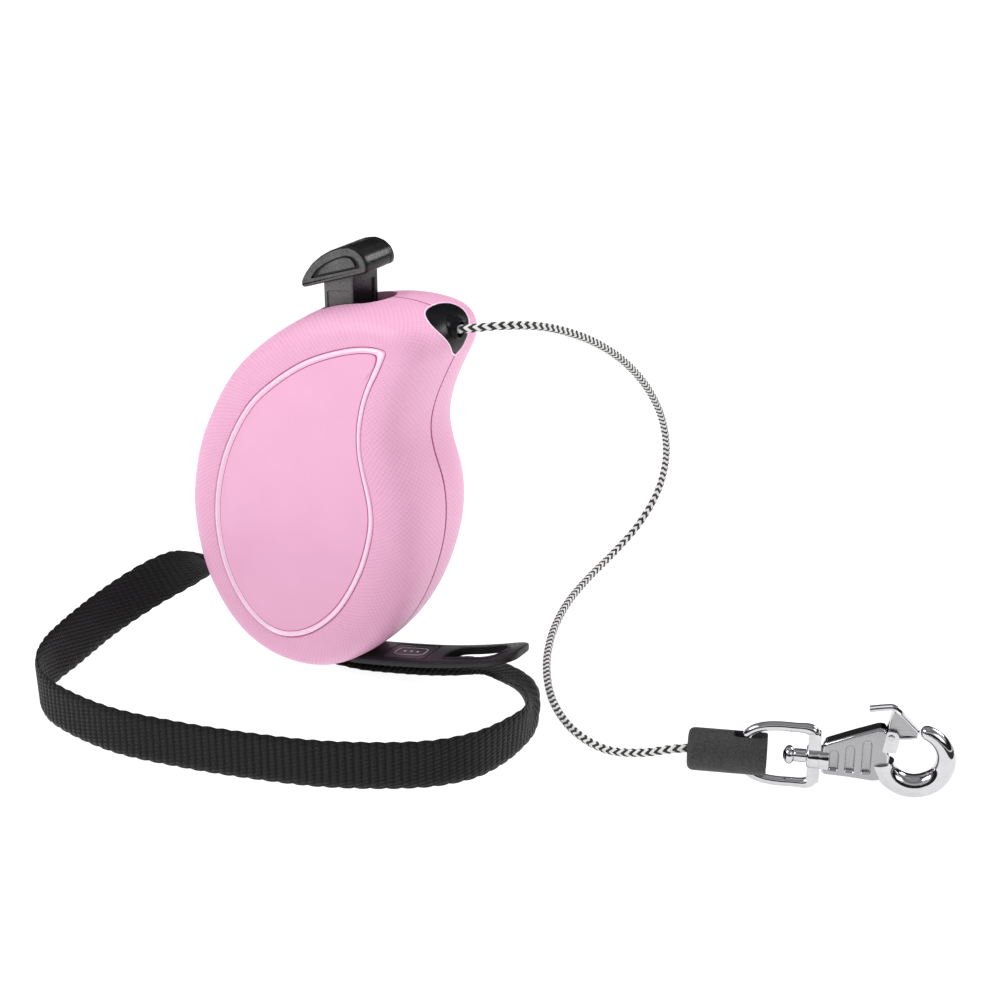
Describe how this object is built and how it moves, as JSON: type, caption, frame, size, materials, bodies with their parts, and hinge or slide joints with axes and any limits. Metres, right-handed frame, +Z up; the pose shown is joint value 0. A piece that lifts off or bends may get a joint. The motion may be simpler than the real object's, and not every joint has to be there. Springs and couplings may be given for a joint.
{
  "type": "retractable cord dog leash",
  "caption": "Hand-held retractable dog leash: paisley-shaped housing with brake button, wrist strap, thin braided cord and a swivel snap hook on its end.",
  "frame": {"origin": "bottom centre of the bounding box of the housing and strap, on the surface the leash stands on", "axes": "+X out of the cord nozzle, +Z up, housing thickness along Y"},
  "size_m": [0.2726, 0.2092, 0.1362],
  "materials": {
    "shell_pink": "satin moulded plastic with a fine leather-like grain and smooth side panels",
    "black_plastic": "satin",
    "guide_black": "semi-gloss",
    "reel_white": "moulded",
    "spring_steel": "rolled",
    "steel": "turned, zinc plated",
    "webbing_black": "woven nylon",
    "cord_braid": "black and white braid",
    "rubber_black": "matt, slightly grainy",
    "chrome": "polished plating",
    "badge_grey": "matt inlay"
  },
  "bodies": {
    "housing": {"left_shell": "shell_pink", "right_shell": "shell_pink", "shell_screw_1": "steel", "shell_screw_2": "steel", "shell_screw_3": "steel", "shell_screw_4": "steel", "cord_guide": "guide_black", "pawl_pin": "steel", "reel_axle": "steel", "button_spring": "spring_steel", "cord_inner_run": "cord_braid", "cord": "cord_braid", "wrist_strap": "webbing_black", "strap_rear_pin": "steel", "strap_front_pin": "steel", "strap_tab": "black_plastic", "tab_badge": "badge_grey", "cord_end_sleeve": "rubber_black"},
    "button": {"brake_button": "black_plastic"},
    "pawl": {"brake_pawl": "black_plastic"},
    "reel": {"reel_drum": "reel_white", "cord_winding": "cord_braid", "spring_cover": "reel_white", "power_spring": "spring_steel"},
    "eye": {"swivel_eye": "chrome"},
    "hook": {"swivel_stud": "chrome", "hook_body": "chrome", "gate_pin": "steel"},
    "gate": {"hook_gate": "chrome"}
  },
  "joints": [
    {"name": "brake_press", "type": "slide", "parent": "housing", "child": "button", "axis": [0, 0, -1], "range_m": [0, 0.0034], "stiffness_N_per_m": 400, "springref_m": -0.003, "deforming": ["button_spring"]},
    {"name": "pawl_swing", "type": "hinge", "parent": "housing", "child": "pawl", "pos_m": [-0.01903, 0.03307, 0.0935], "axis": [0, 1, 0], "range_deg": [0, 8.8]},
    {"name": "reel_spin", "type": "hinge", "parent": "housing", "child": "reel", "pos_m": [-0.00553, 0.03307, 0.049], "axis": [0, 1, 0], "continuous": true},
    {"name": "eye_tilt", "type": "hinge", "parent": "housing", "child": "eye", "pos_m": [0.13976, 0.02852, 0.0094], "axis": [-0.3735, 0.9277, 0], "range_deg": [-10, 10]},
    {"name": "hook_swivel", "type": "hinge", "parent": "eye", "child": "hook", "pos_m": [0.1572, 0.03554, 0.01], "axis": [0.9277, 0.3735, 0], "continuous": true},
    {"name": "gate_open", "type": "hinge", "parent": "hook", "child": "gate", "pos_m": [0.17612, 0.04316, 0.0189], "axis": [-0.3735, 0.9277, 0], "range_deg": [0, 35], "stiffness_Nm_per_rad": 0.02, "springref_deg": -20.05}
  ],
  "couplings": [
    {"joint": "pawl_swing", "follows": "brake_press", "rad_per_m": 44}
  ]
}
